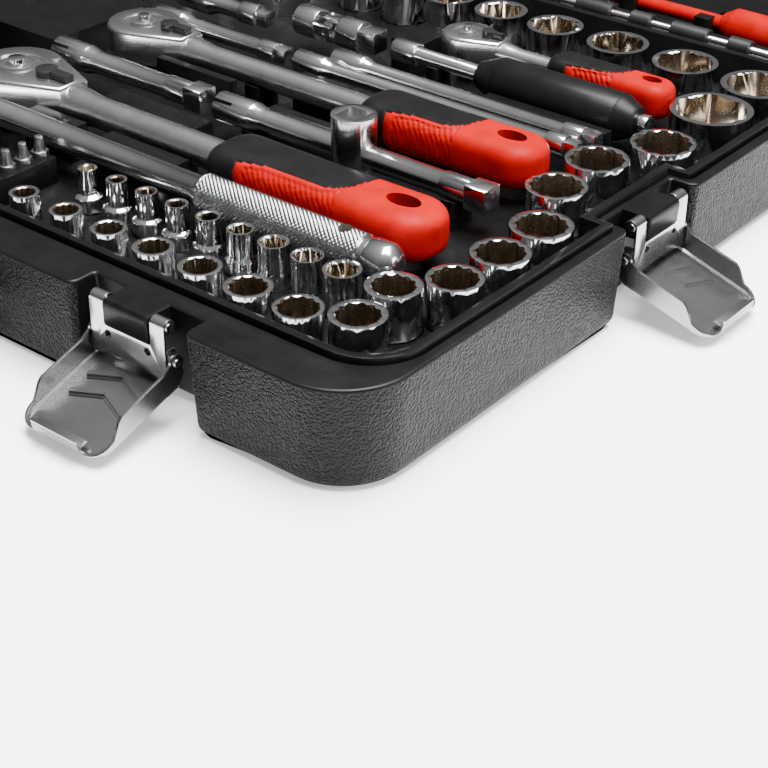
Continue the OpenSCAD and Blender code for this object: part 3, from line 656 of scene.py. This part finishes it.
def grip_surface(at, x0, x1, hw, hh):
    """The grip's skin: material 0 is black rubber, 1 the red inlay with slanted ribs and the red end."""
    bm = bmesh.new()
    length, n_x, n_a = x1 - x0, int((x1 - x0) / 0.7), 72
    end_x, border = x1 - hw * 2.5, x0 + hw * 1.15
    rows, marks = [], []
    for j in range(n_x + 1):
        x = x0 + length * j / n_x
        shoulder, tail = rise(x - x0, hw * 0.8, 2.6), rise(x1 - x, hw, 2.2)
        waist = 1 - 0.06 * math.sin(math.pi * min(1, (x - x0) / length))
        w = hw * waist * (0.55 + 0.45 * shoulder) * (0.05 + 0.95 * tail)
        h = hh * (0.62 + 0.38 * shoulder) * (0.45 + 0.55 * tail)
        # the inlay runs from edge over the near side to low_edge, in degrees from the far side over the top
        edge = 118 + 16 * max(0.0, min(1.0, (border + 14 - x) / 14))
        edge -= 30 * max(0.0, min(1.0, (x - end_x + 12) / 12)) ** 2
        low_edge, on_end = 360 - edge, x > end_x
        row, kinds = [], []
        for i in range(n_a):
            a = 2 * math.pi * i / n_a
            deg, c, s = math.degrees(a), math.cos(a), math.sin(a)
            y = w * math.copysign(abs(c) ** 0.62, c)
            z = h * math.copysign(abs(s) ** 0.62, s)
            inside = edge < deg < low_edge
            red = (x > border and inside) or on_end
            lift = 0.0
            if red and not on_end:
                gap = min(deg - edge, low_edge - deg, (x - border) * 3)
                slant = (x + z * 0.7) / 2.6
                if gap < 4:
                    lift = -0.35
                elif gap < 13:
                    lift = 0.15
                elif x < end_x - 3:
                    lift = -0.15 if slant - math.floor(slant) < 0.62 else -0.6
            elif on_end and x - end_x < 0.8 and not inside:
                lift = -0.45
            k = 1 + lift / max(w, h, 1)
            row.append(bm.verts.new((at[0] + x, at[1] + y * k, at[2] + z * k)))
            kinds.append(int(red))
        rows.append(row)
        marks.append(kinds)
    for j in range(n_x):
        for i in range(n_a):
            k = (i + 1) % n_a
            f = bm.faces.new((rows[j][i], rows[j][k], rows[j + 1][k], rows[j + 1][i]))
            votes = marks[j][i] + marks[j][k] + marks[j + 1][i] + marks[j + 1][k]
            f.material_index = int(votes >= 3)
    bm.faces.new(rows[0]).material_index = 0
    bm.faces.new(rows[-1]).material_index = 1
    return bm


def grip(name, at, x0, x1, hw, hh):
    """The two-part grip, with an oval hanging hole cut through its red end."""
    whole = mesh_object(name + "_whole", grip_surface(at, x0, x1, hw, hh), [GRIP, RED], name)
    cut = bmesh.new()
    hole = oval(at[0] + x1 - hw * 1.15, at[1], hw * 0.50, hw * 0.30, 32)
    low, high = ring(cut, hole, at[2] - 2 * hh), ring(cut, hole, at[2] + 2 * hh)
    bridge(cut, low, high, 1)
    for end in (low, high):
        cut.faces.new(end).material_index = 1
    cutter = mesh_object("cutter", cut, [GRIP, RED])
    boolean = whole.modifiers.new("hole", "BOOLEAN")
    boolean.operation, boolean.object, boolean.solver = "DIFFERENCE", cutter, "EXACT"
    bpy.context.view_layer.update()
    done = bpy.data.meshes.new_from_object(whole.evaluated_get(bpy.context.evaluated_depsgraph_get()))
    bpy.data.objects.remove(cutter)
    bpy.data.objects.remove(whole)
    for index, part, slot_name, material in ((0, "grip", "grip_black", GRIP), (1, "inlay", "grip_red", RED)):
        bm = bmesh.new()
        bm.from_mesh(done)
        bmesh.ops.delete(bm, geom=[f for f in bm.faces if f.material_index != index], context="FACES")
        for f in bm.faces:
            f.material_index = 0
        mesh = bpy.data.meshes.new(name + "_" + part)
        bm.to_mesh(mesh)
        bm.free()
        mesh.materials.clear()
        mesh.materials.append(material)
        piece = bpy.data.objects.new(name + "_soft_" + part, mesh)
        bpy.context.scene.collection.objects.link(piece)
        mesh.shade_smooth()
        mesh.set_sharp_from_angle(angle=math.radians(50))
        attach(piece, name + "_ratchet")
        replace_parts(piece, name + "_ratchet_" + part)
    bpy.data.meshes.remove(done)


def ratchet_steel(name, at, head_r, head_h, shaft_r, grip_x, drive_r):
    """The head: a pear-shaped block with round edges and a well on top; its neck flares into the shaft."""
    bm = bmesh.new()
    reach, neck, well_r, top = head_r * 1.75, shaft_r * 1.15, drive_r * 0.95, head_h / 2
    lean = math.degrees(math.acos((head_r - neck) / reach))
    plan = arc(0, 0, head_r, lean, 360 - lean, 48) + [(reach, -neck), (reach, neck)]
    extrude_plan(bm, plan, -top, top, 1.6, [oval(0, 0, well_r, well_r, 40)])
    lathe(bm, [(top - 0.9, well_r), (top - 0.9, drive_r * 0.3)], (0, 0, 0), "Z", 40, closed=False)
    lathe(bm, [(head_r * 1.2, top * 0.9), (reach, top * 0.92), (head_r * 2.1, neck), (head_r * 2.5, shaft_r),
               (grip_x + 8, shaft_r)], (0, 0, 0), "X", 40)
    bmesh.ops.transform(bm, matrix=Matrix.Translation(at), verts=bm.verts)
    piece = made(name + "_steel", bm, name + "_ratchet", "tool_chrome", [HEAD], 40)
    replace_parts(piece, name + "_ratchet_body")


# Each ratchet: head's place, head's radius and height, shaft's radius, the grip's two ends
# along X from the head, the grip's half width and half height, the drive's radius
RATCHETS = {"half": ((-28, -63.5, TOOL_Z), 19.5, 17, 6.5, 118, 222, 14.5, 10, 12),
            "three": ((-25, 7.5, TOOL_Z), 16.5, 15, 5.5, 130, 214, 13, 9.5, 10),
            "quarter": ((90, 92.5, TOOL_Z), 11.5, 12, 4.2, 46, 104.5, 9, 8, 6.8)}
for each, (at, head_r, head_h, shaft_r, g0, g1, hw, hh, drive_r) in RATCHETS.items():
    grip(each, at, g0, g1, hw, hh)
    ratchet_steel(each, at, head_r, head_h, shaft_r, g0, drive_r)

# ---------- CAD nodes that stay ----------
keep("tool_insert", INSERT, 0.5)
keep("lid_insert", INSERT, 0.5)
keep("bit_rack", INSERT, 0.5)
keep("carry_handle", HANDLE, 0.8)
for name in ("hinge_pin", "latch_case_pins", "handle_pivots", "breaker_pin"):
    keep(name, PIN, 0.2)
for each in LATCHES:
    keep(each + "_rivets", PIN, 0.4)
for name in ("breaker_head", "tee_bar", "tee_slider", "long_extension", "thin_extensions", "spinner_shank",
             "joint_socket_end", "joint_cross", "joint_drive_end", "wrenches"):
    keep(name, TOOL, 0.35)
for each in RATCHETS:
    keep(each + "_ratchet_button", CHROME, 0.6)
    keep(each + "_ratchet_drive", GEAR, 0.3)
    keep(each + "_ratchet_lever", BLACK, 0.4)
keep("half_ratchet_screws", GEAR, 0.15)
keep("spinner_handle", GRIP, 0.8)
keep("screwdriver", RED, 0.8)
keep("bits", BIT, 0.2)


def solids_of(mesh):
    """The number of the separate solid that each vertex belongs to; vertices at one place count as one."""
    place_of, parent, spots = {}, [], []

    def root(i):
        while parent[i] != i:
            parent[i] = parent[parent[i]]
            i = parent[i]
        return i

    for v in mesh.vertices:
        place = tuple(round(c * 1e5) for c in v.co)
        if place not in place_of:
            place_of[place] = len(parent)
            parent.append(len(parent))
        spots.append(place_of[place])
    for f in mesh.polygons:
        first = root(spots[f.vertices[0]])
        for i in f.vertices[1:]:
            parent[root(spots[i])] = first
    return [root(s) for s in spots]


def keep_sockets(name):
    """Sockets stay as the CAD makes them; faces that look towards a socket's axis get the bore's darker
    metal, painted shade inside the bore.
    """
    mesh = keep(name, CHROME, 0.22, (BORE_SHADE,)).data
    solid_of = solids_of(mesh)
    boxes = {}
    for v, s in zip(mesh.vertices, solid_of):
        x0, x1, y0, y1 = boxes.get(s, (v.co.x, v.co.x, v.co.y, v.co.y))
        boxes[s] = min(x0, v.co.x), max(x1, v.co.x), min(y0, v.co.y), max(y1, v.co.y)
    for f in mesh.polygons:
        x0, x1, y0, y1 = boxes[solid_of[f.vertices[0]]]
        out = Vector((f.center.x - (x0 + x1) / 2, f.center.y - (y0 + y1) / 2))
        r, off = (x1 - x0) / 2, out.length
        # faces inside the bore or on its floor are marked for the painted bore shade
        facing_in = off > 1e-5 and (f.normal.x * out.x + f.normal.y * out.y) / off < 0.05
        wall = facing_in and off < r - 0.9 * MM and f.normal.z < 0.6
        bottom = off < r * 0.55 and f.normal.z > 0.6
        if wall or bottom:
            f.material_index = 1


for name in ("quarter_sockets", "front_sockets", "side_sockets", "back_sockets", "deep_sockets"):
    keep_sockets(name)


# ---------- floor, light and camera ----------
def pale_floor():
    mesh = bpy.data.meshes.new("floor")
    bm = bmesh.new()
    bmesh.ops.create_grid(bm, x_segments=1, y_segments=1, size=6.0)
    bm.to_mesh(mesh)
    bm.free()
    pale = Look("pale floor", Roughness=0.7, Specular_IOR_Level=0.1,
                Emission_Color=(1, 1, 1, 1), Emission_Strength=0.4)
    pale.set("Base Color", pale.blend(pale.noise(900, 1.0), (0.90, 0.90, 0.90), (0.92, 0.92, 0.92)))
    mesh.materials.append(pale.material)
    floor = bpy.data.objects.new("floor", mesh)
    bpy.context.scene.collection.objects.link(floor)
    floor.location.z = -0.0002


def studio():
    """A room that is bright above and darker towards the horizon, behind a plain pale backdrop."""
    world = bpy.data.worlds.new("studio")
    bpy.context.scene.world = world
    world.use_nodes = True
    tree = world.node_tree
    spot = tree.nodes.new("ShaderNodeTexCoord")
    height = tree.nodes.new("ShaderNodeSeparateXYZ")
    tree.links.new(spot.outputs["Generated"], height.inputs[0])
    level = tree.nodes.new("ShaderNodeMapRange")
    for i, value in enumerate((0.1, 0.9, 0.05, 0.45), start=1):
        level.inputs[i].default_value = value
    tree.links.new(height.outputs[2], level.inputs[0])
    seen = tree.nodes.new("ShaderNodeLightPath")
    backdrop = tree.nodes.new("ShaderNodeMix")
    backdrop.inputs[3].default_value = 3.0
    tree.links.new(seen.outputs["Is Camera Ray"], backdrop.inputs[0])
    tree.links.new(level.outputs[0], backdrop.inputs[2])
    tree.links.new(backdrop.outputs[0], tree.nodes["Background"].inputs[1])
    tree.nodes["Background"].inputs[0].default_value = (1, 1, 1, 1)


def lamp(name, place, target, size, power):
    data = bpy.data.lights.new(name, "AREA")
    data.shape, data.size, data.size_y, data.energy = "RECTANGLE", size[0], size[1], power
    one = bpy.data.objects.new(name, data)
    bpy.context.scene.collection.objects.link(one)
    one.location = place
    one.rotation_euler = (Vector(target) - Vector(place)).to_track_quat("-Z", "Y").to_euler()


def add_camera(eye, azimuth, elevation, roll, lens):
    """A camera at eye, in millimetres, looking along the azimuth and down by the elevation, in degrees."""
    az, el, lean = (math.radians(a) for a in (azimuth, elevation, roll))
    ahead = Vector((-math.sin(az) * math.cos(el), math.cos(az) * math.cos(el), -math.sin(el)))
    level = ahead.cross(Vector((0, 0, 1))).normalized()
    above = level.cross(ahead)
    right = math.cos(lean) * level + math.sin(lean) * above
    up = math.cos(lean) * above - math.sin(lean) * level
    data = bpy.data.cameras.new("camera")
    data.sensor_width, data.lens = 36.0, lens
    data.clip_start, data.clip_end = 0.01, 50
    camera = bpy.data.objects.new("camera", data)
    bpy.context.scene.collection.objects.link(camera)
    turn = Matrix((right, up, -ahead)).transposed().to_4x4()
    camera.matrix_world = Matrix.Translation(Vector(eye) * MM) @ turn
    bpy.context.scene.camera = camera


pale_floor()
studio()
lamp("top softbox", (0.30, 0.05, 1.3), (0.1, -0.1, 0), (1.0, 0.8), 125)
lamp("right softbox", (1.2, 0.1, 0.55), (0.1, 0, 0.03), (0.5, 0.5), 10)
add_camera((530.4, -515.1, 334.8), 38.67, 32.14, 0.44, lens=83.8945)
